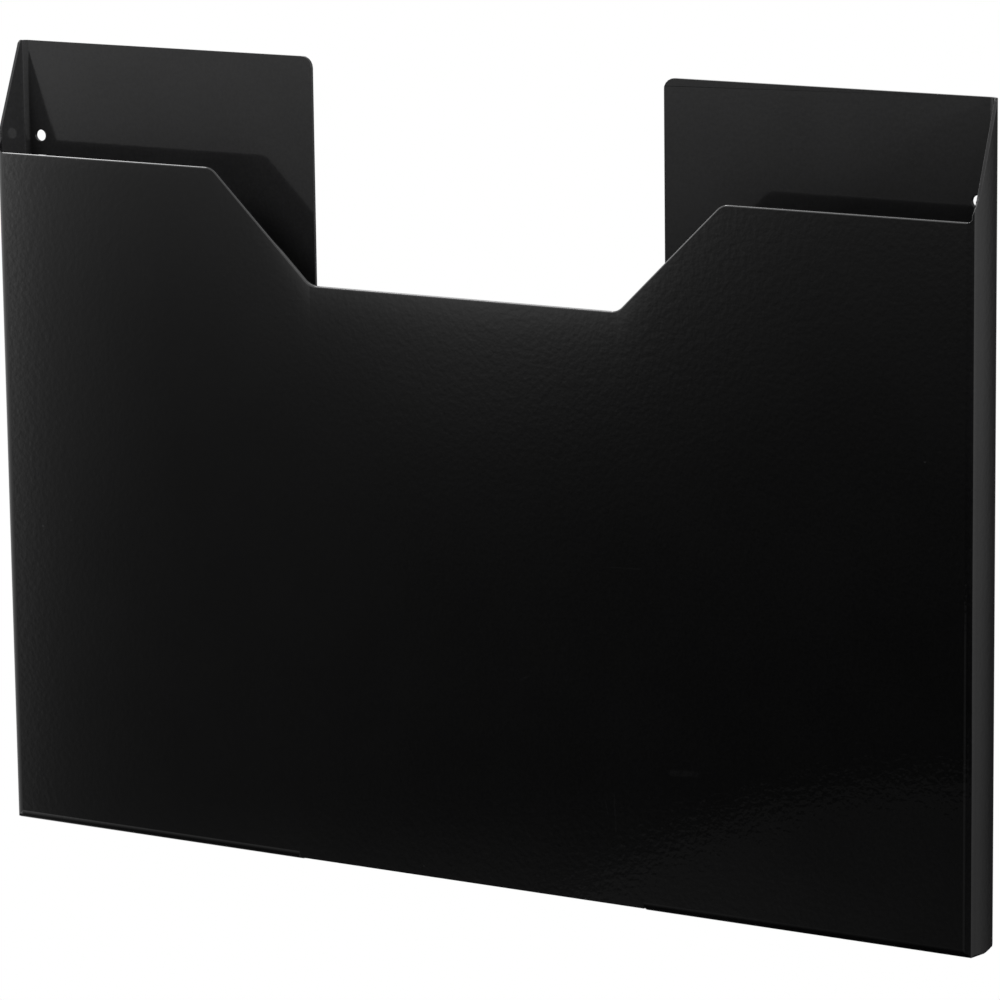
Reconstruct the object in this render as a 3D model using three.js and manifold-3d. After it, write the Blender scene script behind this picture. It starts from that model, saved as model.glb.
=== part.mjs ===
// Magnetic wall file rack: a shallow landscape pocket folded from one blank of coated sheet steel,
// held to a steel wall by four rubber magnet sheets on the backs of its two rear flaps.
//
// Millimetres. X runs along the wall (right seen from the front), Y into the wall, Z up.
// The wall is the plane Y = 0, and the origin is on it, at mid width, level with the rack's bottom.
import * as THREE from 'three';
import { mergeVertices } from 'three/addons/utils/BufferGeometryUtils.js';
import Module from 'manifold-3d';

const wasm = await Module();
wasm.setup();

// Steel blank
const width = 330;
const bodyDepth = 16.5;
const sheet = 1;
const bendRadius = 3;

// Front panel and its finger scoop, and how far the rear stands above the panel
const frontHeight = 212;
const rearRise = 33;
const height = frontHeight + rearRise;
const scoopTopWidth = 172;
const scoopFloorWidth = 104;
const scoopDepth = 33.5;
const scoopCornerRadius = 5;

// Side walls: a short step up on the front bend from the front panel's top edge, then a straight slant
// that rounds off on the rear bend into the flap's top edge
const sideStepRise = 2;
const sideStepRadius = 1;
const slantStartAngle = 31;
const slantEndAngle = 30;

// Foot of each rear bend, cut up in a curve that starts on the wall and clears the shelf's rear corner
const rearFootRun = 2.4;
const rearFootRise = 2.4;
const rearFootAngle = 33;

// Front lower corners, ground round as seen from the front, and less and less so along the side wall
const frontCornerRadius = 3;
const frontCornerEndRadius = 0.1;
const frontCornerRun = 8;

// Rear flaps
const flapGap = 119;
const flapCornerRadius = 3.5;
const hangHoleDiameter = 3.4;
const hangHoleFromSide = 6.5;
const hangHoleFromTop = 29.5;

// Bottom shelves, bent from the front panel's lower edge
const shelfGap = 119;
const shelfNotchRise = 1;
const shelfCornerRadius = 2;
const cornerRelief = 0.5;
const seamGap = 0.3;

// Weld beads that close the seams between a shelf and the walls round it
const weldLeg = 1.6;
const sideWeldLength = 9;
const rearWeldLength = 18;
const rearWeldInset = 14;

// Magnet sheets and the double-sided tape that holds them
const magnetThickness = 1.25;
const magnetCornerRadius = 2;
const magnetFromFlapEdge = 3.5;
const magnetFromFlapEnds = 8;
const magnetFromHole = 1.8;
const magnetGap = 29;
const tapeThickness = 0.25;
const tapeInset = 1;

// How finely curves are cut, and how far a cutter runs past what it cuts
const bendSegments = 8;
const cornerSegments = 5;
const holeSegments = 24;
const overrun = 1;

const sideX = width / 2;
const wallY = 0;
const tapeBackY = wallY - magnetThickness;
const backY = tapeBackY - tapeThickness;
const frontY = backY - bodyDepth;
const flapFaceY = backY - sheet;
const midY = (frontY + backY) / 2;

const X_AXIS = new THREE.Vector3(1, 0, 0);
const Y_AXIS = new THREE.Vector3(0, 1, 0);
const Z_AXIS = new THREE.Vector3(0, 0, 1);

const coatedSteel = new THREE.MeshStandardMaterial({ color: 0x1b1c1f, roughness: 0.32, metalness: 0.1 });
const coatedWeld = new THREE.MeshStandardMaterial({ color: 0x1d1e21, roughness: 0.45, metalness: 0.1 });
const rubberMagnet = new THREE.MeshStandardMaterial({ color: 0x2b2724, roughness: 0.85, metalness: 0 });
const adhesiveTape = new THREE.MeshStandardMaterial({ color: 0xd9d5ca, roughness: 0.7, metalness: 0 });

// Closed geometry to solid and back, for the cuts and joins

function toSolid(geometry) {
  const bare = geometry.clone();
  bare.deleteAttribute('normal');
  bare.deleteAttribute('uv');
  const merged = mergeVertices(bare);
  return new wasm.Manifold(new wasm.Mesh({
    numProp: 3,
    vertProperties: new Float32Array(merged.attributes.position.array),
    triVerts: new Uint32Array(merged.index.array),
  }));
}

function toGeometry(solid) {
  const mesh = solid.getMesh();
  const geometry = new THREE.BufferGeometry();
  geometry.setAttribute('position', new THREE.BufferAttribute(new Float32Array(mesh.vertProperties), 3));
  geometry.setIndex(new THREE.BufferAttribute(new Uint32Array(mesh.triVerts), 1));
  geometry.computeVertexNormals();
  return geometry;
}

// Outline through corners [a, b, radius], each rounded by a tangent arc, with points at even angles

function roundedShape(corners) {
  const points = [];
  corners.forEach(([a, b, radius], i) => {
    const corner = new THREE.Vector2(a, b);
    if (!radius) {
      points.push(corner);
      return;
    }
    const before = corners[(i + corners.length - 1) % corners.length];
    const after = corners[(i + 1) % corners.length];
    const back = new THREE.Vector2(before[0] - a, before[1] - b).normalize();
    const on = new THREE.Vector2(after[0] - a, after[1] - b).normalize();
    const half = Math.acos(back.dot(on)) / 2;
    const middle = back.clone().add(on).normalize();
    const centre = corner.clone().addScaledVector(middle, radius / Math.sin(half));
    const start = corner.clone().addScaledVector(back, radius / Math.tan(half)).sub(centre);
    const sweep = (Math.PI - 2 * half) * Math.sign(back.cross(on)) * -1;
    for (let step = 0; step <= cornerSegments; step++) {
      const turned = start.clone().rotateAround(new THREE.Vector2(), sweep * step / cornerSegments);
      points.push(turned.add(centre));
    }
  });
  return new THREE.Shape(points);
}

function roundedRectangle(left, right, low, high, radius) {
  return roundedShape([
    [left, low, radius],
    [right, low, radius],
    [right, high, radius],
    [left, high, radius],
  ]);
}

// A shape drawn as [x, z] pushed along Y, and one drawn as [y, z] pushed along X

function extrudeAlongY(shape, fromY, toY) {
  const geometry = new THREE.ExtrudeGeometry(shape, { depth: toY - fromY, bevelEnabled: false });
  geometry.applyMatrix4(new THREE.Matrix4().makeBasis(X_AXIS, Z_AXIS, Y_AXIS.clone().negate()));
  return geometry.translate(0, toY, 0);
}

function extrudeAlongX(shape, fromX, toX) {
  const geometry = new THREE.ExtrudeGeometry(shape, { depth: toX - fromX, bevelEnabled: false });
  geometry.applyMatrix4(new THREE.Matrix4().makeBasis(Y_AXIS, Z_AXIS, X_AXIS));
  return geometry.translate(fromX, 0, 0);
}

function box(fromX, toX, fromY, toY, fromZ, toZ) {
  const geometry = new THREE.BoxGeometry(toX - fromX, toY - fromY, toZ - fromZ);
  return geometry.translate((fromX + toX) / 2, (fromY + toY) / 2, (fromZ + toZ) / 2);
}

// Closed skin over a row of rings that have equally many points, with flat caps on the first and last

function loft(rings) {
  const count = rings[0].length;
  const positions = rings.flat(2);
  const triangles = [];
  for (let ring = 0; ring + 1 < rings.length; ring++) {
    for (let i = 0; i < count; i++) {
      const a = ring * count + i;
      const b = ring * count + (i + 1) % count;
      triangles.push([a, b, b + count], [a, b + count, a + count]);
    }
  }
  const last = (rings.length - 1) * count;
  for (let i = 1; i + 1 < count; i++) {
    triangles.push([0, i + 1, i], [last, last + i, last + i + 1]);
  }
  const point = (i) => new THREE.Vector3().fromArray(positions, 3 * i);
  const volume = triangles.reduce((sum, [a, b, c]) => sum + point(a).dot(point(b).cross(point(c))), 0);
  const wound = volume < 0 ? triangles.map(([a, b, c]) => [a, c, b]) : triangles;
  const geometry = new THREE.BufferGeometry();
  geometry.setAttribute('position', new THREE.BufferAttribute(new Float32Array(positions), 3));
  geometry.setIndex(wound.flat());
  return geometry;
}

// The sheet's path round one side in plan, through arcs given as [centreY, from, to, steps]; no steps
// make one point, such as one on the wall. Each station has the sheet's mid point, its outward normal
// and the length along the sheet so far.

function sideStations(arcs) {
  const bendX = sideX - bendRadius;
  const midRadius = bendRadius - sheet / 2;
  const stations = [];
  for (const [centreY, fromAngle, toAngle, steps = bendSegments] of arcs) {
    for (let step = 0; step <= steps; step++) {
      const share = step / Math.max(1, steps);
      const angle = THREE.MathUtils.degToRad(fromAngle + (toAngle - fromAngle) * share);
      const normal = new THREE.Vector2(Math.cos(angle), Math.sin(angle));
      const middle = new THREE.Vector2(bendX, centreY).addScaledVector(normal, midRadius);
      const before = stations.at(-1);
      const along = before ? before.along + middle.distanceTo(before.middle) : 0;
      stations.push({ middle, normal, along });
    }
  }
  return stations;
}

// Cutter square to the sheet all along such a path, from lowAt to highAt of the length along the sheet

function pathCutter(side, stations, lowAt, highAt) {
  const reach = sheet / 2 + overrun;
  const rings = stations.map(({ middle, normal, along }) => {
    const inner = middle.clone().addScaledVector(normal, -reach);
    const outer = middle.clone().addScaledVector(normal, reach);
    return [
      [side * inner.x, inner.y, lowAt(along)],
      [side * outer.x, outer.y, lowAt(along)],
      [side * outer.x, outer.y, highAt(along)],
      [side * inner.x, inner.y, highAt(along)],
    ];
  });
  return toSolid(loft(rings));
}

function slantCutter(side) {
  const stations = sideStations([
    [frontY + bendRadius, slantStartAngle - 90, 0],
    [backY - bendRadius, 0, slantEndAngle],
  ]);
  const straight = stations[bendSegments + 1].along;
  const total = stations.at(-1).along;
  const startZ = frontHeight + sideStepRise;
  const slope = (height - startZ) / ((straight + total) / 2);
  const edgeAt = (along) => {
    const past = Math.max(0, along - straight);
    return startZ + slope * (along - past ** 2 / (2 * (total - straight)));
  };
  return pathCutter(side, stations, edgeAt, () => height + overrun);
}

function rearFootCutter(side) {
  const bendY = backY - bendRadius;
  const onWall = Array.from({ length: cornerSegments }, (_, i) => (
    [bendY - rearFootRun * (1 - i / cornerSegments), 0, 0, 0]));
  const stations = sideStations([...onWall, [bendY, 0, rearFootAngle], [bendY, 90, 90, 0]]);
  const curved = stations.at(-2).along;
  const footAt = (along) => rearFootRise * (1 - Math.sqrt(1 - Math.min(1, along / curved) ** 2));
  return pathCutter(side, stations, () => -overrun, footAt);
}

// The rack's plan outline, and the folded tube of sheet that the openings are cut from

function planOutline(inset) {
  const radius = bendRadius - inset;
  const path = new THREE.Path();
  [[1, -1], [1, 1], [-1, 1], [-1, -1]].forEach(([signX, signY], i) => {
    const centreX = signX * (sideX - bendRadius);
    const centreY = midY + signY * (bodyDepth / 2 - bendRadius);
    const startAngle = (i - 1) * Math.PI / 2;
    path.absarc(centreX, centreY, radius, startAngle, startAngle + Math.PI / 2);
  });
  return path.getPoints(bendSegments / 2);
}

function sheetTube() {
  const shape = new THREE.Shape(planOutline(0));
  shape.holes.push(new THREE.Path(planOutline(sheet)));
  return toSolid(new THREE.ExtrudeGeometry(shape, { depth: height, bevelEnabled: false }));
}

// Cutter for all that is open above the front panel: between the side walls, and the scoop

function frontCutter() {
  const stepX = sideX - bendRadius * (1 - Math.sin(THREE.MathUtils.degToRad(slantStartAngle)));
  const half = [
    [stepX, height + overrun, 0],
    [stepX, frontHeight, sideStepRadius],
    [scoopTopWidth / 2, frontHeight, scoopCornerRadius],
    [scoopFloorWidth / 2, frontHeight - scoopDepth, scoopCornerRadius],
  ];
  const mirrored = half.map(([x, z, radius]) => [-x, z, radius]).reverse();
  return toSolid(extrudeAlongY(roundedShape([...half, ...mirrored]), frontY - overrun, midY));
}

// Cutter for the gap between the rear flaps, whose four free corners it rounds

function flapGapCutter() {
  const gapX = flapGap / 2;
  const flareX = gapX + flapCornerRadius + overrun;
  const rightEdge = [
    [flareX, -overrun, 0],
    [flareX, 0, 0],
    [gapX, 0, flapCornerRadius],
    [gapX, height, flapCornerRadius],
    [flareX, height, 0],
    [flareX, height + overrun, 0],
  ];
  const leftEdge = rightEdge.map(([x, z, radius]) => [-x, z, radius]).reverse();
  return toSolid(extrudeAlongY(roundedShape([...rightEdge, ...leftEdge]), midY, backY + overrun));
}

function hangHoleCutter(side) {
  const geometry = new THREE.CylinderGeometry(
    hangHoleDiameter / 2, hangHoleDiameter / 2, sheet + 2 * overrun, holeSegments);
  geometry.translate(side * (sideX - hangHoleFromSide), backY - sheet / 2, height - hangHoleFromTop);
  return toSolid(geometry);
}

// Bottom shelf: the quarter bend under the front panel, then a flat plate that widens to the side wall

const shelfFromX = shelfGap / 2;
const shelfBendToX = sideX - bendRadius - cornerRelief;
const shelfToX = sideX - sheet - seamGap;
const bendEndY = frontY + bendRadius;
const plateFrontY = bendEndY + cornerRelief;
const plateRearY = flapFaceY - seamGap;

function shelfBend(side, nearX, farX) {
  const profile = new THREE.Shape();
  profile.moveTo(plateFrontY, 0);
  profile.lineTo(plateFrontY, sheet);
  profile.absarc(bendEndY, bendRadius, bendRadius - sheet, -Math.PI / 2, -Math.PI, true);
  profile.lineTo(frontY, bendRadius);
  profile.absarc(bendEndY, bendRadius, bendRadius, Math.PI, 1.5 * Math.PI, false);
  const points = profile.getPoints(bendSegments / 2);
  const [fromX, toX] = side > 0 ? [nearX, farX] : [-farX, -nearX];
  return toSolid(extrudeAlongX(new THREE.Shape(points), fromX, toX));
}

function shelf(side) {
  const plate = roundedShape([
    [side * shelfFromX, plateFrontY, 0],
    [side * shelfToX, plateFrontY, 0],
    [side * shelfToX, plateRearY, 0],
    [side * shelfFromX, plateRearY, shelfCornerRadius],
  ]);
  return shelfBend(side, shelfFromX, shelfBendToX)
    .add(toSolid(new THREE.ExtrudeGeometry(plate, { depth: sheet, bevelEnabled: false })));
}

// Cutter that rounds the front's lower corners off as far out as the shelf's bend is

function frontFootCutter(side) {
  const outside = new THREE.Shape();
  outside.moveTo(frontY - overrun, bendRadius);
  outside.lineTo(frontY, bendRadius);
  outside.absarc(bendEndY, bendRadius, bendRadius, Math.PI, 1.5 * Math.PI, false);
  outside.lineTo(bendEndY, -overrun);
  outside.lineTo(frontY - overrun, -overrun);
  const [nearX, farX] = [shelfBendToX - overrun, sideX + overrun];
  const [fromX, toX] = side > 0 ? [nearX, farX] : [-farX, -nearX];
  return toSolid(extrudeAlongX(new THREE.Shape(outside.getPoints(bendSegments / 2)), fromX, toX));
}

// Cutter that grinds a front lower corner round: a hollow cone whose axis runs along Y

function frontCornerCutter(side) {
  const ends = [
    [frontY - overrun, frontCornerRadius],
    [frontY + frontCornerRun, frontCornerEndRadius],
  ];
  const rings = ends.map(([y, radius]) => {
    const points = [[sideX + overrun, -overrun], [sideX + overrun, radius]];
    for (let step = 0; step <= bendSegments; step++) {
      const angle = Math.PI / 2 * step / bendSegments;
      points.push([sideX - radius * (1 - Math.cos(angle)), radius * (1 - Math.sin(angle))]);
    }
    points.push([sideX - radius, -overrun]);
    return points.map(([x, z]) => [side * x, y, z]);
  });
  return toSolid(loft(rings));
}

// What is cut from the tube's lower front edge: a notch between the shelves, and room for their bends

function lowerEdgeCutter() {
  const cutterBox = (fromX, toX, toZ) => (
    toSolid(box(fromX, toX, frontY - overrun, bendEndY, -overrun, toZ)));
  return cutterBox(-shelfFromX, shelfFromX, shelfNotchRise)
    .add(cutterBox(shelfFromX, sideX - bendRadius, bendRadius))
    .add(cutterBox(-sideX + bendRadius, -shelfFromX, bendRadius));
}

function foldedBody() {
  let body = sheetTube()
    .subtract(frontCutter())
    .subtract(flapGapCutter())
    .subtract(lowerEdgeCutter());
  for (const side of [-1, 1]) {
    body = body
      .subtract(slantCutter(side))
      .subtract(rearFootCutter(side))
      .subtract(frontFootCutter(side))
      .subtract(frontCornerCutter(side))
      .subtract(hangHoleCutter(side))
      .add(shelf(side));
  }
  return new THREE.Mesh(toGeometry(body), coatedSteel);
}

// Corner weld: carries the shelf's bend on through the relief beside it and into the corner of the tube

function cornerWeld(side) {
  const fillDepth = bendRadius + 2 * overrun;
  const inside = new THREE.ExtrudeGeometry(
    new THREE.Shape(planOutline(sheet)), { depth: fillDepth, bevelEnabled: false });
  inside.translate(0, 0, -overrun);
  const [nearX, farX] = [shelfBendToX - overrun, sideX - bendRadius];
  const [fromX, toX] = side > 0 ? [nearX, farX] : [-farX, -nearX];
  const beside = box(fromX, toX, frontY - overrun, midY, -overrun, fillDepth - overrun);
  const room = toSolid(inside).add(toSolid(beside)).subtract(frontCornerCutter(side));
  return new THREE.Mesh(toGeometry(shelfBend(side, shelfBendToX, sideX).intersect(room)), coatedWeld);
}

// Weld beads: a rounded fillet with one flat on the shelf and one on the wall that it joins

function beadShape(inward) {
  const points = [new THREE.Vector2(0, 0)];
  for (let step = 0; step <= cornerSegments; step++) {
    const angle = Math.PI / 2 * step / cornerSegments;
    const bulge = weldLeg * (Math.cos(angle) + Math.sin(angle)) ** -0.5;
    points.push(new THREE.Vector2(inward * bulge * Math.cos(angle), bulge * Math.sin(angle)));
  }
  return new THREE.Shape(points);
}

function sideWeld(side) {
  const centreY = (bendEndY + plateRearY) / 2;
  const geometry = extrudeAlongY(beadShape(-side), -sideWeldLength / 2, sideWeldLength / 2);
  const weld = new THREE.Mesh(geometry, coatedWeld);
  weld.position.set(side * (sideX - sheet), centreY, sheet);
  return weld;
}

function rearWeld(centreX) {
  const geometry = extrudeAlongX(beadShape(-1), -rearWeldLength / 2, rearWeldLength / 2);
  const weld = new THREE.Mesh(geometry, coatedWeld);
  weld.position.set(centreX, flapFaceY, sheet);
  return weld;
}

// Magnet sheets: two on each flap, as large as the hanging hole, the flap's edges and their gap leave

const magnetFromX = flapGap / 2 + magnetFromFlapEdge;
const magnetToX = sideX - hangHoleFromSide - hangHoleDiameter / 2 - magnetFromHole;
const magnetWidth = magnetToX - magnetFromX;
const magnetHeight = (height - magnetGap) / 2 - magnetFromFlapEnds;

// Magnet sheet or tape: a rounded plate whose rear face lies on its mesh's own origin

function flatPlate(inset, thickness, material) {
  const halfWidth = magnetWidth / 2 - inset;
  const halfHeight = magnetHeight / 2 - inset;
  const outline = roundedRectangle(-halfWidth, halfWidth, -halfHeight, halfHeight, magnetCornerRadius);
  return new THREE.Mesh(extrudeAlongY(outline, -thickness, 0), material);
}

const rack = new THREE.Group();

function addPiece(name, mesh) {
  mesh.name = name;
  rack.add(mesh);
}

addPiece('folded_steel_body', foldedBody());

for (const [sideName, side] of [['left', -1], ['right', 1]]) {
  const magnetX = side * (magnetFromX + magnetToX) / 2;
  const levels = {
    upper: height - magnetFromFlapEnds - magnetHeight / 2,
    lower: magnetFromFlapEnds + magnetHeight / 2,
  };
  for (const [levelName, magnetZ] of Object.entries(levels)) {
    const magnet = flatPlate(0, magnetThickness, rubberMagnet);
    magnet.position.set(magnetX, wallY, magnetZ);
    addPiece(`${sideName}_${levelName}_magnet_sheet`, magnet);

    const tape = flatPlate(tapeInset, tapeThickness, adhesiveTape);
    tape.position.set(magnetX, tapeBackY, magnetZ);
    addPiece(`${sideName}_${levelName}_adhesive_tape`, tape);
  }

  addPiece(`${sideName}_corner_weld`, cornerWeld(side));
  addPiece(`${sideName}_side_weld`, sideWeld(side));
  const firstWeldX = shelfFromX + rearWeldInset + rearWeldLength / 2;
  const lastWeldX = shelfToX - rearWeldInset - rearWeldLength / 2;
  addPiece(`${sideName}_rear_weld_inner`, rearWeld(side * firstWeldX));
  addPiece(`${sideName}_rear_weld_outer`, rearWeld(side * lastWeldX));
}

export default rack;
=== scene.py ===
"""Looks of the magnetic wall file rack: black coated sheet steel, rubber magnets, tape and weld beads,
in a pale studio at the photograph's viewing angle. Lengths are in metres."""
import math

import bmesh
import bpy
from mathutils import Matrix, Vector


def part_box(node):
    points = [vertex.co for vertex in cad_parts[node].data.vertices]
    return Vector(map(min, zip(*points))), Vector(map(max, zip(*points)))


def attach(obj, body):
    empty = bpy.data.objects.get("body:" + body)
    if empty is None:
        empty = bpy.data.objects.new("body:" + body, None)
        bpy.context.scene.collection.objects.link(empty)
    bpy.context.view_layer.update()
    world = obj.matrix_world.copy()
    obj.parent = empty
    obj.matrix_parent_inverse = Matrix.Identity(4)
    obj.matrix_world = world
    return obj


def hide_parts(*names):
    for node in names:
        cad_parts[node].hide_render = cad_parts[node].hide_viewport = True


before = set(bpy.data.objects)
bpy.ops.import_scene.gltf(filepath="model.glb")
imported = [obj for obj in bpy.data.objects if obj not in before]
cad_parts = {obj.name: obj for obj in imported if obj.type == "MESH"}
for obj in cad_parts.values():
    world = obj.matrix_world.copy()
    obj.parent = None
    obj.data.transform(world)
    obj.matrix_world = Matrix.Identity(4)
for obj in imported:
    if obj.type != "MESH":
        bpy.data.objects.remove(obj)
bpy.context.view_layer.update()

MM = 0.001
SIDES = ("left", "right")

# Camera: where it stands, how it looks down and turns, and its lens
CAMERA_PLACE = (742.5 * MM, -1293.5 * MM, 433.4 * MM)
CAMERA_AZIMUTH = 29.77
CAMERA_ELEVATION = 10.94
CAMERA_ROLL = -0.71
SENSOR_WIDTH = 36.0
LENS = 183.98
SHIFT_UP = -0.1

# Folded body in plan, in millimetres, to tell its outer faces from its inner ones and its cut edges:
# the last two are shares of the sheet's thickness where one ends and the next begins
HALF_WIDTH = 165.0
MID_Y = -9.75
HALF_DEPTH = 8.25
FRONT_Y = MID_Y - HALF_DEPTH
BEND_RADIUS = 3.0
SHEET = 1.0
BEND_START_X = HALF_WIDTH - BEND_RADIUS
OUTSIDE_TO = 0.2
CUT_EDGE_TO = 0.8

# Front panel's upper edge, in millimetres, and two places low down where small faces meet: the seams of
# the corner fills, and the ends of the shelves' bends
FRONT_TOP_Z = 212.0
SCOOP = {"floor_z": 178.5, "floor_half": 52, "top_half": 86}
SEAM = {"from_x": 161.4, "to_y": -14.4, "to_z": 3.05}
NOTCH = {"x": 59.5, "reach": 1, "to_y": -16.5, "to_z": 3.05, "share": 0.3}

# How meshes from the frame are cleaned, and how the coat rounds their cut edges
MERGE_DISTANCE = 0.001 * MM
FLAT_ANGLE = 0.5
EDGE_ANGLE = 28
COATED_EDGE_RADIUS = 0.42 * MM
SHORT_EDGE = 0.12 * MM
FULL_AT = 0.8
IN_LINE = 0.8
EVEN_PASSES = 12
MAGNET_EDGE_RADIUS = 0.15 * MM
EDGE_STEPS = 3
FLAT_FACE_WEIGHT = 100


def add_camera():
    data = bpy.data.cameras.new("camera")
    data.sensor_width = SENSOR_WIDTH
    data.lens = LENS
    data.shift_y = SHIFT_UP
    camera = bpy.data.objects.new("camera", data)
    azimuth = math.radians(CAMERA_AZIMUTH)
    tilt = math.radians(90 - CAMERA_ELEVATION)
    turn = Matrix.Rotation(azimuth, 4, "Z") @ Matrix.Rotation(tilt, 4, "X")
    roll = Matrix.Rotation(math.radians(CAMERA_ROLL), 4, "Z")
    camera.matrix_world = Matrix.Translation(CAMERA_PLACE) @ turn @ roll
    bpy.context.scene.collection.objects.link(camera)
    bpy.context.scene.camera = camera


def new_object(name, mesh):
    """An object in the scene, made of a bmesh that it uses up."""
    data = bpy.data.meshes.new(name)
    mesh.to_mesh(data)
    mesh.free()
    thing = bpy.data.objects.new(name, data)
    bpy.context.scene.collection.objects.link(thing)
    return thing


class Nodes:
    """Builds a node tree: each call adds a node, sets its values and links its inputs."""

    def __init__(self, tree):
        self.tree = tree
        tree.nodes.clear()

    def connect(self, node, values):
        for name, value in values:
            if isinstance(value, bpy.types.NodeSocket):
                self.tree.links.new(value, node.inputs[name])
            else:
                node.inputs[name].default_value = value

    def add(self, kind, inputs=None, **settings):
        node = self.tree.nodes.new(kind)
        for name, value in settings.items():
            setattr(node, name, value)
        self.connect(node, (inputs or {}).items())
        return node

    def math(self, operation, a, b=0.0, clamp=False):
        node = self.add("ShaderNodeMath", {0: a, 1: b}, operation=operation, use_clamp=clamp)
        return node.outputs[0]

    def total(self, *values):
        result = values[0]
        for value in values[1:]:
            result = self.math("ADD", result, value)
        return result

    def product(self, *values):
        result = values[0]
        for value in values[1:]:
            result = self.math("MULTIPLY", result, value)
        return result

    def opposite(self, value):
        return self.math("SUBTRACT", 1.0, value)

    def vector(self, operation, a, b):
        return self.add("ShaderNodeVectorMath", {0: a, 1: b}, operation=operation)

    def noise(self, place, scale, detail=2.0, roughness=0.5):
        values = {"Vector": place, "Scale": scale, "Detail": detail, "Roughness": roughness}
        return self.add("ShaderNodeTexNoise", values).outputs["Fac"]

    def remap(self, value, from_low, from_high, to_low, to_high, smooth=True):
        kind = "SMOOTHSTEP" if smooth else "LINEAR"
        values = {"Value": value, "From Min": from_low, "From Max": from_high, "To Min": to_low,
                  "To Max": to_high}
        return self.add("ShaderNodeMapRange", values, interpolation_type=kind).outputs["Result"]

    def plan(self, value, points):
        """Straight lines between points given as (value, level)."""
        first, last = points[0][0], points[-1][0]
        top = max(level for _, level in points)
        share = self.remap(value, first, last, 0, 1, smooth=False)
        node = self.add("ShaderNodeFloatCurve", {"Value": share})
        curve = node.mapping.curves[0]
        for _ in points[2:]:
            curve.points.new(0.5, 0.5)
        for point, (place, level) in zip(curve.points, points):
            point.location = ((place - first) / (last - first), level / top)
            point.handle_type = "VECTOR"
        node.mapping.update()
        return self.math("MULTIPLY", node.outputs[0], top)

    def blend(self, factor, first, second):
        node = self.add("ShaderNodeMix", data_type="RGBA")
        self.connect(node, ((0, factor), (6, first), (7, second)))
        return node.outputs[2]

    def surface(self, colour, roughness, ior, height):
        """Ends a material's tree: one shader over a bump whose height is in millimetres."""
        bump = self.add("ShaderNodeBump", {"Height": height, "Strength": 1.0, "Distance": MM})
        values = {"Base Color": colour, "Roughness": roughness, "IOR": ior, "Normal": bump.outputs[0]}
        shader = self.add("ShaderNodeBsdfPrincipled", values)
        self.add("ShaderNodeOutputMaterial", {"Surface": shader.outputs[0]})


def new_material(name):
    material = bpy.data.materials.new(name)
    material.use_nodes = True
    return material, Nodes(material.node_tree)


# Studio: what the glossy steel mirrors. Headings are degrees round the rack from the camera's side (-Y),
# right positive; elevations are above the horizon. A level of 1 is the white of the background.
# Plans give levels over the heading, or over a direction's X where they are named for the floor,
# overhead or backdrop.
WALL_PLAN = [
    (-180, 0.3), (-150, 0.3), (-125, 0.6), (-100, 1.0), (-75, 1.0), (-50, 0.75), (-42, 0.65), (-39, 0.0),
    (73, 0.0), (75, 1.3), (110, 0.9), (149, 0.4), (151, 0.0), (170, 0.0), (172, 0.08), (180, 0.3),
]
WALL_FOOT = {"from": -32, "to": -20}
FRONT_HALF = {"from_y": -0.35, "to_y": -0.05}
LEFT_EDGE_PLAN = [
    (-42, 0.0), (-39, 0.6), (-35.5, 0.55), (-35.35, 0.4), (-35.2, 0.25), (-35, 0.15), (-34.8, 0.1),
    (-34.5, 0.06), (-34.1, 0.025), (-33.5, 0.0),
]
LEFT_FADE = {"middle": -12, "unit": 5, "most": 2.0}
RIGHT_EDGE_PLAN = [
    (149, 0.0), (151, 0.38), (153.5, 0.35), (154.3, 0.32), (155.8, 0.22), (157.3, 0.11), (161, 0.06),
    (170, 0.06), (172, 0.0),
]
RIGHT_FADE = {"from": -20, "to": -6, "low": 0.4}
LOW_STRIP = {"level": 0.1, "from": -23.4, "to": 2, "top": -13.3, "left_blur": 0.3, "right_blur": 4,
             "top_blur": 0.1}
FLOOR_PLAN = [
    (-0.62, 0.8), (-0.56, 0.8), (-0.553, 0.6), (-0.545, 0.4), (-0.536, 0.28), (-0.5, 0.2), (-0.444, 0.11),
    (-0.419, 0.06), (-0.38, 0.03),
]
FLOOR_FADE = {"from": -18.5, "to": -15.2, "deep_from": -55, "deep_to": -22, "deep": 0.12}
SOFTBOX_ABOVE = {"level": 1.6, "edge": -4.9, "blur": 1.93, "top_from": 10, "top_to": 20}
SOFTBOX_RIM = {"level": 0.9, "from": -8.2, "to": -6.7}
SOFTBOX_IN_FRONT = {"level": 0.64, "heading": -29.7, "elevation": -8.06, "radius": 1.42}
GREY_WALL = {"level": 0.05, "heading": -30, "falloff": 6.2, "most": 3.0}
TABLE = {"level": 0.04, "heading": -27, "edge": -15.66, "slope": 0.34, "bend": -0.076, "blur": 0.03,
         "left": -5, "right": 3, "rim": 0.8, "rim_width": 0.25}
UPPER_FRONT = {"from": 12, "to": 22, "left_x": -0.57, "left": 0.3, "right_x": -0.4, "right": 0.9}
OVERHEAD = {"from": 42, "to": 52}
OVERHEAD_PLAN = [
    (-1.0, 3.0), (-0.62, 4.0), (-0.585, 18.0), (-0.565, 18.0), (-0.545, 10.0), (-0.5, 8.5), (-0.44, 3.0),
    (-0.41, 2.2), (-0.39, 1.2), (0.2, 1.2), (1.0, 1.2),
]
BACKDROP = {"from": -2, "to": 5}
BACKDROP_PLAN = [
    (-1.0, 1.6), (-0.57, 1.6), (-0.5, 1.0), (-0.4, 0.35), (0.08, 0.33), (0.15, 0.65), (0.26, 0.65),
    (0.33, 0.3), (1.0, 0.3),
]

# What matt surfaces get from all round, beside the lamps
PLAIN_LEVEL = 0.4


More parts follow.
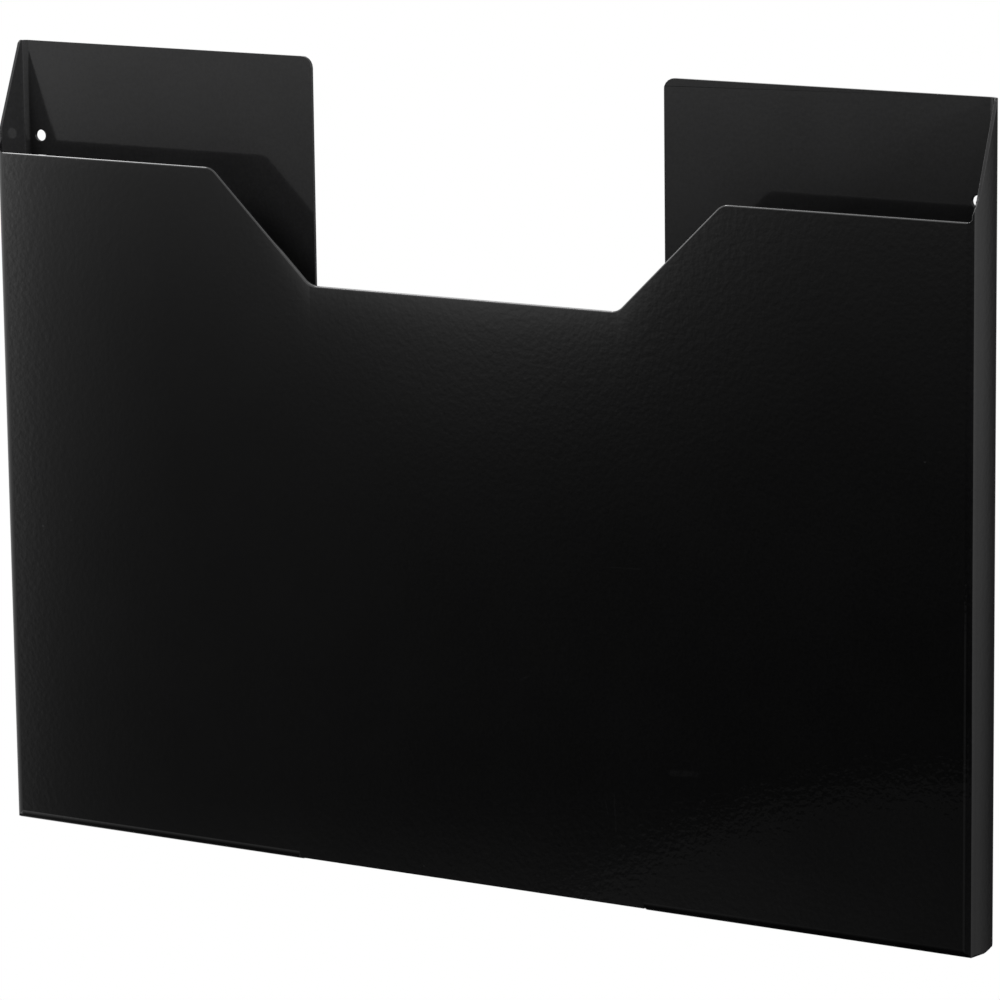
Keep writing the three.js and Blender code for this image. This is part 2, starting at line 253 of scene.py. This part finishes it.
def sigmoid(n, value):
    """Goes from 0 to 1 as value goes from low to high, with tails that fade like a soft edge's."""
    falling = n.math("EXPONENT", n.math("MULTIPLY", value, -1.0))
    return n.math("DIVIDE", 1.0, n.math("ADD", 1.0, falling))


def scaled(n, value, zero, unit):
    return n.math("DIVIDE", n.math("SUBTRACT", value, zero), unit)


def studio_level(n):
    """What glossy rays find in each direction of the studio."""
    direction = n.add("ShaderNodeTexCoord").outputs["Generated"]
    x, y, z = n.add("ShaderNodeSeparateXYZ", {0: direction}).outputs
    heading = n.math("DEGREES", n.math("ARCTAN2", x, n.math("MULTIPLY", y, -1.0)))
    elevation = n.math("DEGREES", n.math("ARCSINE", z))
    in_front = n.remap(y, FRONT_HALF["from_y"], FRONT_HALF["to_y"], 1, 0)
    above_foot = n.remap(elevation, WALL_FOOT["from"], WALL_FOOT["to"], 0, 1)

    right_fade = n.remap(elevation, RIGHT_FADE["from"], RIGHT_FADE["to"], RIGHT_FADE["low"], 1)
    left_fade = n.math("EXPONENT", scaled(n, elevation, LEFT_FADE["middle"], LEFT_FADE["unit"]))
    left_fade = n.math("MINIMUM", left_fade, LEFT_FADE["most"])
    walls = n.total(n.plan(heading, WALL_PLAN), n.plan(heading, RIGHT_EDGE_PLAN))
    walls = n.product(walls, right_fade)
    left_edge = n.product(n.plan(heading, LEFT_EDGE_PLAN), left_fade)
    grey = n.math("EXPONENT", scaled(n, heading, GREY_WALL["heading"], -GREY_WALL["falloff"]))
    grey = n.product(n.math("MINIMUM", grey, GREY_WALL["most"]), GREY_WALL["level"])
    left, right, top = LOW_STRIP["from"], LOW_STRIP["to"], LOW_STRIP["top"]
    strip = n.product(n.remap(heading, left, left + LOW_STRIP["left_blur"], 0, LOW_STRIP["level"]),
                      n.remap(heading, right - LOW_STRIP["right_blur"], right, 1, 0),
                      n.remap(elevation, top - LOW_STRIP["top_blur"], top, 1, 0))

    across = n.math("SUBTRACT", heading, TABLE["heading"])
    across = n.math("MINIMUM", n.math("MAXIMUM", across, TABLE["left"]), TABLE["right"])
    slope = n.product(across, TABLE["slope"])
    bend = n.product(across, across, TABLE["bend"])
    edge = n.total(TABLE["edge"], slope, bend)
    under = n.math("SUBTRACT", edge, elevation)
    table = sigmoid(n, n.math("DIVIDE", under, TABLE["blur"]))
    rim = n.remap(under, 0, TABLE["rim_width"], 1 + TABLE["rim"], 1)
    table = n.product(table, rim, TABLE["level"], in_front)
    floor = n.remap(elevation, FLOOR_FADE["from"], FLOOR_FADE["to"], 1, 0)
    floor = n.product(floor, n.plan(x, FLOOR_PLAN))
    deep = n.remap(elevation, FLOOR_FADE["deep_from"], FLOOR_FADE["deep_to"], FLOOR_FADE["deep"], 1)
    floor = n.product(n.total(floor, table), deep)

    above = sigmoid(n, scaled(n, elevation, SOFTBOX_ABOVE["edge"], SOFTBOX_ABOVE["blur"]))
    above_end = n.remap(elevation, SOFTBOX_ABOVE["top_from"], SOFTBOX_ABOVE["top_to"], 1, 0)
    rim_level = SOFTBOX_RIM["level"] / SOFTBOX_ABOVE["level"]
    rim = n.remap(elevation, SOFTBOX_RIM["from"], SOFTBOX_RIM["to"], 0, rim_level)
    above = n.product(n.total(above, rim), above_end, in_front, SOFTBOX_ABOVE["level"])
    radius = SOFTBOX_IN_FRONT["radius"]
    across = n.math("POWER", scaled(n, heading, SOFTBOX_IN_FRONT["heading"], radius), 2)
    along = n.math("POWER", scaled(n, elevation, SOFTBOX_IN_FRONT["elevation"], radius), 2)
    box = n.math("EXPONENT", n.product(n.total(across, along), -0.5))
    box = n.product(box, SOFTBOX_IN_FRONT["level"])

    upper_front = n.remap(elevation, UPPER_FRONT["from"], UPPER_FRONT["to"], 0, 1)
    left, right = UPPER_FRONT["left"], UPPER_FRONT["right"]
    shade = n.remap(x, UPPER_FRONT["left_x"], UPPER_FRONT["right_x"], left, right)
    upper_front = n.product(upper_front, in_front, shade)
    overhead = n.remap(elevation, OVERHEAD["from"], OVERHEAD["to"], 0, 1)
    overhead = n.product(overhead, n.plan(x, OVERHEAD_PLAN))
    backdrop = n.remap(elevation, BACKDROP["from"], BACKDROP["to"], 0, 1)
    backdrop = n.product(backdrop, n.opposite(in_front), n.plan(x, BACKDROP_PLAN))

    low = n.product(n.total(walls, left_edge, grey, strip), above_foot)
    return n.total(low, floor, above, box, upper_front, overhead, backdrop)


def add_studio():
    """World: white to the camera and through openings, the studio to glossy rays, plain light otherwise."""
    world = bpy.data.worlds.new("studio")
    world.use_nodes = True
    world.cycles.sampling_method = "NONE"
    bpy.context.scene.world = world
    n = Nodes(world.node_tree)
    rays = n.add("ShaderNodeLightPath")
    seen = n.math("ADD", rays.outputs["Is Camera Ray"], rays.outputs["Is Transmission Ray"], clamp=True)
    glossy = rays.outputs["Is Glossy Ray"]
    other = n.math("SUBTRACT", n.opposite(seen), glossy, clamp=True)
    level = n.total(seen, n.product(glossy, studio_level(n)), n.product(other, PLAIN_LEVEL))
    background = n.add("ShaderNodeBackground", {"Color": (1, 1, 1, 1), "Strength": level})
    n.add("ShaderNodeOutputWorld", {"Surface": background.outputs[0]})


# Floor: a pale round sheet well below the rack that keeps its soft shadow and fades out at its rim
FLOOR = {"centre": (0.1, 0.1), "radius": 1.15, "level": -0.5, "solid_to": 0.8, "colour": 0.8,
         "lift": 0.33}
FLOOR_RIM_POINTS = 96

# Lamps: small soft boxes to the left in front of the rack and to the right beside it
LAMP_SIZE = 0.12
LAMPS = {
    "left_lamp": {"place": (-0.24, -0.22, 0.42), "target": (-0.13, 0.0, 0.22), "power": 0.52},
    "right_lamp": {"place": (0.9, -0.06, 0.55), "target": (-0.165, -0.01, 0.22), "power": 12.0},
}


def add_floor():
    mesh = bmesh.new()
    bmesh.ops.create_circle(mesh, cap_ends=True, segments=FLOOR_RIM_POINTS, radius=FLOOR["radius"])
    floor = new_object("floor", mesh)
    floor.location = (*FLOOR["centre"], FLOOR["level"])

    material, n = new_material("pale_floor")
    place = n.add("ShaderNodeTexCoord").outputs["Object"]
    grey = FLOOR["colour"]
    matt = n.add("ShaderNodeBsdfDiffuse", {"Color": (grey, grey, grey, 1)})
    seen = n.add("ShaderNodeLightPath").outputs["Is Camera Ray"]
    strength = n.product(seen, FLOOR["lift"])
    lift = n.add("ShaderNodeEmission", {"Color": (1, 1, 1, 1), "Strength": strength})
    lit = n.add("ShaderNodeAddShader", {0: matt.outputs[0], 1: lift.outputs[0]})
    distance = n.vector("LENGTH", place, (0, 0, 0)).outputs["Value"]
    rim = n.remap(distance, FLOOR["solid_to"], FLOOR["radius"], 0, 1)
    back = n.add("ShaderNodeNewGeometry").outputs["Backfacing"]
    clear = n.add("ShaderNodeBsdfTransparent")
    share = n.math("MAXIMUM", rim, back)
    shade = n.add("ShaderNodeMixShader", {0: share, 1: lit.outputs[0], 2: clear.outputs[0]})
    n.add("ShaderNodeOutputMaterial", {"Surface": shade.outputs[0]})
    floor.data.materials.append(material)
    floor.visible_glossy = False


def add_lamps():
    for name, look in LAMPS.items():
        data = bpy.data.lights.new(name, "AREA")
        data.shape = "DISK"
        data.size = LAMP_SIZE
        data.energy = look["power"]
        lamp = bpy.data.objects.new(name, data)
        aim = Vector(look["target"]) - Vector(look["place"])
        turn = aim.to_track_quat("-Z", "Y").to_matrix().to_4x4()
        lamp.matrix_world = Matrix.Translation(look["place"]) @ turn
        lamp.visible_glossy = False
        lamp.visible_camera = False
        bpy.context.scene.collection.objects.link(lamp)


# Coats: diffuse colour, the paler colour of its fine grain, roughness, refraction and the height of
# its orange peel in millimetres
OUTER_COAT = {"colour": (0.0011, 0.0011, 0.0012, 1), "grain": (0.0025, 0.0025, 0.0026, 1),
              "roughness": 0.03, "ior": 1.5, "peel": 0.0048}
INNER_COAT = {"colour": (0.0133, 0.0133, 0.0136, 1), "grain": (0.0183, 0.0183, 0.0187, 1),
              "roughness": 0.1, "ior": 1.28, "peel": 0.003}
EDGE_COAT = {"colour": (0.003, 0.003, 0.0033, 1), "grain": (0.008, 0.008, 0.0083, 1),
             "roughness": 0.12, "ior": 1.5, "peel": 0.002}
WELD_COAT = {"colour": (0.004, 0.004, 0.0045, 1), "grain": (0.01, 0.01, 0.0105, 1),
             "roughness": 0.2, "ior": 1.5, "peel": 0.004}
PEEL_SCALE = 700
GRAIN_SCALE = 1100
CLOUD_SCALE = 32
GRAIN_SHARE = 0.65

# The middle part of a noise's values, over which the two colours of a surface change
NOISE_SPAN = (0.35, 0.65)

# Side walls bow out a little between their bends, which shades them from front to back
BOW_HEIGHT = 0.034
BOW_HALF_WIDTH = 5.25
ON_SIDE = (HALF_WIDTH - 1, HALF_WIDTH - 0.1)

# The orange peel is coarser towards the right, and the front curves back a little at its upper edge
PEEL_GROWS = {"between": (-90, 60), "shares": (0.55, 1.6)}
EDGE_FALL = {"depth": 0.08, "run": 6, "from_x": 40, "to_x": 75, "share": 0.15}
ON_FRONT = (FRONT_Y + 0.1, FRONT_Y + 0.05)

# Small marks on the front face, in millimetres: specks as (x, z, radius, strength), scratches as
# (from x, from z, to x, to z, half width, strength)
MARK_COLOUR = (0.03, 0.03, 0.031, 1)
SPECKS = [
    (-151.1, 95.6, 0.5, 0.8), (-140.5, 98.5, 0.35, 0.6), (-113.0, 40.2, 0.4, 0.7),
    (149.7, 143.3, 0.4, 0.6), (-15.4, 4.1, 0.35, 0.5), (105.5, 195.2, 0.35, 0.5),
]
SCRATCHES = [
    (68.8, 43.4, 77.0, 44.1, 1.3, 0.12), (49.8, 34.4, 50.4, 23.2, 0.3, 0.12),
    (46.8, 32.5, 47.7, 28.3, 0.3, 0.1), (49.1, 102.9, 59.0, 103.3, 0.25, 0.12),
    (18.5, 65.6, 21.9, 67.2, 0.3, 0.15), (91.9, 199.4, 94.5, 197.9, 0.3, 0.2),
]
SPECK_CORE = 0.4
SCRATCH_CORE = 0.3
MARK_BREAKS = {"scale": 1.3, "between": (0.4, 0.6), "shares": (0.35, 1)}


def add_marks(n, place, colour):
    """Blends pale specks and scratches into the front face's colour."""
    x, y, z = n.add("ShaderNodeSeparateXYZ", {0: place}).outputs
    flat = n.add("ShaderNodeCombineXYZ", {0: x, 2: z}).outputs[0]
    marks = None
    for centre_x, centre_z, radius, strength in SPECKS:
        away = n.vector("DISTANCE", flat, (centre_x, 0, centre_z)).outputs["Value"]
        mark = n.remap(away, radius * SPECK_CORE, radius, strength, 0)
        marks = mark if marks is None else n.math("MAXIMUM", marks, mark)
    for from_x, from_z, to_x, to_z, half_width, strength in SCRATCHES:
        run = Vector((to_x - from_x, 0, to_z - from_z))
        offset = n.vector("SUBTRACT", flat, (from_x, 0, from_z)).outputs[0]
        share = n.vector("DOT_PRODUCT", offset, run / run.length_squared).outputs["Value"]
        share = n.math("ADD", share, 0.0, clamp=True)
        nearest = n.add("ShaderNodeVectorMath", {0: tuple(run), "Scale": share}, operation="SCALE")
        away = n.vector("DISTANCE", offset, nearest.outputs[0]).outputs["Value"]
        mark = n.remap(away, half_width * SCRATCH_CORE, half_width, strength, 0)
        marks = n.math("MAXIMUM", marks, mark)
    on_front = n.remap(y, *ON_FRONT, 0, 1)
    broken = n.noise(place, MARK_BREAKS["scale"], detail=1.0)
    broken = n.remap(broken, *MARK_BREAKS["between"], *MARK_BREAKS["shares"])
    return n.blend(n.product(marks, on_front, broken), colour, MARK_COLOUR)


def outer_height(n, place, peel):
    """Height of the outer faces: coarser peel to the right, bowed side walls, a front that curves back."""
    x, y, z = n.add("ShaderNodeSeparateXYZ", {0: place}).outputs
    peel = n.product(peel, n.remap(x, *PEEL_GROWS["between"], *PEEL_GROWS["shares"]))
    wide = n.math("ABSOLUTE", x)
    bow = n.math("POWER", n.math("DIVIDE", n.math("SUBTRACT", y, MID_Y), BOW_HALF_WIDTH), 2)
    on_side = n.remap(wide, *ON_SIDE, 0, BOW_HEIGHT)
    bowed = n.math("SUBTRACT", peel, n.product(bow, on_side))
    slant = (SCOOP["floor_half"], SCOOP["top_half"], SCOOP["floor_z"], FRONT_TOP_Z)
    top = n.remap(wide, *slant, smooth=False)
    to_edge = n.math("MAXIMUM", n.math("SUBTRACT", top, z), 0.0)
    fall = n.math("EXPONENT", n.math("DIVIDE", to_edge, -EDGE_FALL["run"]))
    fall = n.product(fall, EDGE_FALL["depth"])
    outwards = n.remap(wide, EDGE_FALL["from_x"], EDGE_FALL["to_x"], 1, EDGE_FALL["share"])
    on_front = n.remap(y, *ON_FRONT, 0, 1)
    return n.math("SUBTRACT", bowed, n.product(fall, outwards, on_front))


def coat(name, look, outer=False):
    """Powder coat: fine grain and clouds in its colour, and a shallow orange peel."""
    material, n = new_material(name)
    metres = n.add("ShaderNodeTexCoord").outputs["Object"]
    grain = n.noise(metres, GRAIN_SCALE, detail=3.0, roughness=0.7)
    cloud = n.noise(metres, CLOUD_SCALE, detail=3.0)
    mixed = n.total(n.product(grain, GRAIN_SHARE), n.product(cloud, 1 - GRAIN_SHARE))
    colour = n.blend(n.remap(mixed, *NOISE_SPAN, 0, 1), look["colour"], look["grain"])
    place = n.vector("DIVIDE", metres, (MM, MM, MM)).outputs[0]
    if outer:
        colour = add_marks(n, place, colour)
    height = n.product(n.noise(metres, PEEL_SCALE, detail=1.5, roughness=0.4), look["peel"])
    if outer:
        height = outer_height(n, place, height)
    n.surface(colour, look["roughness"], look["ior"], height)
    return material


def depth_in_sheet(point):
    """How far a point, in metres, lies inside the folded tube's outer face: negative inside, in mm."""
    x, y, z = point / MM
    beyond = Vector((abs(x) - BEND_START_X, abs(y - MID_Y) - HALF_DEPTH + BEND_RADIUS, BEND_RADIUS - z))
    outside = Vector([max(0.0, value) for value in beyond]).length
    return outside + min(0.0, max(beyond)) - BEND_RADIUS


def coat_slot(point):
    """Index of the coat on the face round a point: 0 outside, 1 on a cut edge, 2 inside."""
    depth = depth_in_sheet(point)
    if depth > -OUTSIDE_TO * SHEET:
        return 0
    return 1 if depth > -CUT_EDGE_TO * SHEET else 2


def edge_share(edge):
    """Share of the coat's edge radius that a sharp edge of the body gets: less where small faces meet."""
    ends = [vertex.co / MM for vertex in edge.verts]
    if all(abs(x) > SEAM["from_x"] and y < SEAM["to_y"] and z < SEAM["to_z"] for x, y, z in ends):
        return 0.0
    by_notch = all(abs(abs(x) - NOTCH["x"]) < NOTCH["reach"] for x, y, z in ends)
    if by_notch and all(y < NOTCH["to_y"] and z < NOTCH["to_z"] for x, y, z in ends):
        return NOTCH["share"]
    return 1.0


def in_line(edge, other):
    """Whether two edges run on in nearly the same line."""
    first, second = (one.verts[1].co - one.verts[0].co for one in (edge, other))
    return abs(first.dot(second)) > IN_LINE * first.length * second.length


def room_beside(edge):
    """Length of the shortest edge that turns off from an end of this one."""
    others = [other for vertex in edge.verts for other in vertex.link_edges if other is not edge]
    lengths = [other.calc_length() for other in others if not in_line(edge, other)]
    return min(lengths, default=math.inf)


def even_out(mesh, weights):
    """Gives edges that follow one another round a face the same share of the edge radius."""
    for _ in range(EVEN_PASSES):
        for face in mesh.faces:
            for loop in face.loops:
                edge, other = loop.edge, loop.link_loop_prev.edge
                if edge[weights] > 0 and other[weights] > 0 and in_line(edge, other):
                    edge[weights] = other[weights] = min(edge[weights], other[weights])


def rounded_copy(node, name, radius, share_of=None, slot_of=None):
    """A new piece from a CAD node's mesh: flat faces made whole, cut edges rounded, bends smooth."""
    mesh = bmesh.new()
    mesh.from_mesh(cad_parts[node].data)
    bmesh.ops.remove_doubles(mesh, verts=mesh.verts, dist=MERGE_DISTANCE)
    bmesh.ops.dissolve_limit(mesh, angle_limit=math.radians(FLAT_ANGLE), verts=mesh.verts, edges=mesh.edges)
    weights = mesh.edges.layers.float.new("bevel_weight_edge")
    for edge in mesh.edges:
        angle = edge.calc_face_angle_signed(0.0)
        if abs(angle) < math.radians(EDGE_ANGLE):
            continue
        share = share_of(edge) if share_of else 1.0
        if angle > 0:
            room = max(0.0, min(edge.calc_length(), room_beside(edge)) - SHORT_EDGE)
            edge[weights] = share * min(1.0, room / (FULL_AT * radius))
        edge.smooth = angle > 0 and share > 0
    even_out(mesh, weights)
    for face in mesh.faces:
        face.smooth = True
        face.material_index = slot_of(face.calc_center_median()) if slot_of else 0
    piece = new_object(name, mesh)
    bevel = piece.modifiers.new("rounded_edges", "BEVEL")
    bevel.limit_method = "WEIGHT"
    bevel.width = radius
    bevel.segments = EDGE_STEPS
    bevel.use_clamp_overlap = False
    normals = piece.modifiers.new("flat_faces_lead", "WEIGHTED_NORMAL")
    normals.weight = FLAT_FACE_WEIGHT
    normals.keep_sharp = True
    return piece


def dress(piece, slot, materials, *replaced):
    if piece.data.materials:
        piece.data.materials.clear()
    for material in materials:
        piece.data.materials.append(material)
    if replaced:
        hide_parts(*replaced)
        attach(piece, "root")


def add_steel():
    """The folded sheet, and the fills of its two front lower corners, flush with it."""
    coats = [
        coat("black_coat_outside", OUTER_COAT, outer=True),
        coat("black_coat_on_cut_edges", EDGE_COAT),
        coat("black_coat_inside", INNER_COAT),
    ]
    sheet = rounded_copy("folded_steel_body", "folded_sheet", COATED_EDGE_RADIUS, edge_share, coat_slot)
    dress(sheet, "coated_steel", coats, "folded_steel_body")
    for side in SIDES:
        node = f"{side}_corner_weld"
        fill = rounded_copy(node, f"{side}_corner_fill", COATED_EDGE_RADIUS, edge_share, coat_slot)
        dress(fill, "coated_weld", coats, node)


# Weld beads: a fillet with overlapping ripples and tapered ends. Its belly is an exponent, where 0 makes
# a quarter circle and -1 a flat face.
BEAD = {"rings": 90, "round_steps": 8, "pitch": 1.5 * MM, "ripple": 0.12, "lean": 1.1, "end": 0.9 * MM,
        "end_size": 0.3, "belly": -0.5, "edge_angle": 50}


def bead_size(along, length, share):
    """Leg of the bead at a place along it and a share of the way round it, against its full leg."""
    to_end = min(along, length - along)
    end = min(1.0, to_end / BEAD["end"])
    end = BEAD["end_size"] + (1 - BEAD["end_size"]) * math.sqrt(max(0.0, 1 - (1 - end) ** 2))
    phase = along / BEAD["pitch"] - BEAD["lean"] * (share - 0.5) ** 2
    scallop = abs(math.sin(math.pi * phase))
    return end * (1 - BEAD["ripple"] * (1 - scallop))


def bead_section(leg, inward, along, length):
    """The bead's outline at a place along it, as (across, up) from the corner that it fills."""
    outline = [(0.0, 0.0)]
    for step in range(BEAD["round_steps"] + 1):
        share = step / BEAD["round_steps"]
        angle = math.pi / 2 * share
        belly = (math.cos(angle) + math.sin(angle)) ** BEAD["belly"]
        bulge = leg * belly * bead_size(along, length, share)
        outline.append((inward * bulge * math.cos(angle), bulge * math.sin(angle)))
    return outline


def add_skin(mesh, rings):
    """Faces from each ring of equally many points to the next, and one over either end."""
    count = len(rings[0])
    for first, second in zip(rings, rings[1:]):
        for i in range(count):
            j = (i + 1) % count
            mesh.faces.new((first[i], first[j], second[j], second[i]))
    mesh.faces.new(rings[0])
    mesh.faces.new(rings[-1])
    bmesh.ops.recalc_face_normals(mesh, faces=mesh.faces)


def add_bead(node, material, along_x):
    """One bead in the space of its CAD node: it runs along X at a flap, or along Y at a side wall."""
    low, high = (Vector(corner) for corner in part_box(node))
    leg = high.z - low.z
    length = high.x - low.x if along_x else high.y - low.y
    inward = -1.0 if along_x or low.x > 0 else 1.0
    wall = high.x if inward < 0 else low.x
    mesh = bmesh.new()
    rings = []
    for ring in range(BEAD["rings"] + 1):
        along = length * ring / BEAD["rings"]
        section = bead_section(leg, inward, along, length)
        if along_x:
            places = [(low.x + along, high.y + across, low.z + up) for across, up in section]
        else:
            places = [(wall + across, low.y + along, low.z + up) for across, up in section]
        rings.append([mesh.verts.new(place) for place in places])
    add_skin(mesh, rings)
    for face in mesh.faces:
        face.smooth = len(face.verts) == 4
    for edge in mesh.edges:
        edge.smooth = edge.calc_face_angle(0.0) < math.radians(BEAD["edge_angle"])
    bead = new_object(node.replace("weld", "bead"), mesh)
    dress(bead, "coated_weld", [material], node)


def add_beads():
    material = coat("black_coat_on_welds", WELD_COAT)
    for side in SIDES:
        add_bead(f"{side}_side_weld", material, along_x=False)
        add_bead(f"{side}_rear_weld_inner", material, along_x=True)
        add_bead(f"{side}_rear_weld_outer", material, along_x=True)


# Rubber of the magnets and foam of their tape: two colours, heights in millimetres, and what else
# their shaders take
RUBBER = {"dark": (0.016, 0.0135, 0.012, 1), "light": (0.034, 0.03, 0.027, 1), "speckle_scale": 1600,
          "cloud_scale": 45, "speckle_share": 0.6, "speckle_height": 0.02, "line_height": 0.012,
          "line_stretch": (900, 900, 14), "clouds_between": (0.3, 0.7), "roughness": (0.62, 0.78),
          "ior": 1.5}
FOAM = {"dark": (0.5, 0.48, 0.42, 1), "light": (0.66, 0.64, 0.57, 1), "cell_scale": 9000,
        "cells_between": (0.1, 0.6), "cell_height": 0.02, "roughness": 0.7, "ior": 1.45}


def magnet_rubber():
    """Matt filled rubber: fine speckle, and faint rolling lines along it."""
    material, n = new_material("magnet_rubber")
    place = n.add("ShaderNodeTexCoord").outputs["Object"]
    speckle = n.noise(place, RUBBER["speckle_scale"], detail=4.0, roughness=0.75)
    cloud = n.noise(place, RUBBER["cloud_scale"], detail=3.0)
    share = RUBBER["speckle_share"]
    mixed = n.total(n.product(speckle, share), n.product(cloud, 1 - share))
    colour = n.blend(n.remap(mixed, *NOISE_SPAN, 0, 1), RUBBER["dark"], RUBBER["light"])
    stretched = n.vector("MULTIPLY", place, RUBBER["line_stretch"]).outputs[0]
    lines = n.product(n.noise(stretched, 1.0), RUBBER["line_height"])
    height = n.total(n.product(speckle, RUBBER["speckle_height"]), lines)
    roughness = n.remap(cloud, *RUBBER["clouds_between"], *RUBBER["roughness"])
    n.surface(colour, roughness, RUBBER["ior"], height)
    return material


def foam_tape():
    """Pale foam between two adhesive films: small closed cells."""
    material, n = new_material("foam_tape")
    place = n.add("ShaderNodeTexCoord").outputs["Object"]
    values = {"Vector": place, "Scale": FOAM["cell_scale"]}
    cells = n.add("ShaderNodeTexVoronoi", values).outputs["Distance"]
    share = n.remap(cells, *FOAM["cells_between"], 0, 1)
    colour = n.blend(share, FOAM["dark"], FOAM["light"])
    n.surface(colour, FOAM["roughness"], FOAM["ior"], n.product(cells, FOAM["cell_height"]))
    return material


def add_magnets():
    rubber = magnet_rubber()
    foam = foam_tape()
    for side in SIDES:
        for level in ("upper", "lower"):
            node = f"{side}_{level}_magnet_sheet"
            magnet = rounded_copy(node, f"{side}_{level}_rubber_magnet", MAGNET_EDGE_RADIUS)
            dress(magnet, "rubber_magnet", [rubber], node)
            dress(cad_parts[f"{side}_{level}_adhesive_tape"], "adhesive_tape", [foam])


add_camera()
add_studio()
add_floor()
add_lamps()
add_steel()
add_beads()
add_magnets()

view = bpy.context.scene.view_settings
view.view_transform = "Standard"
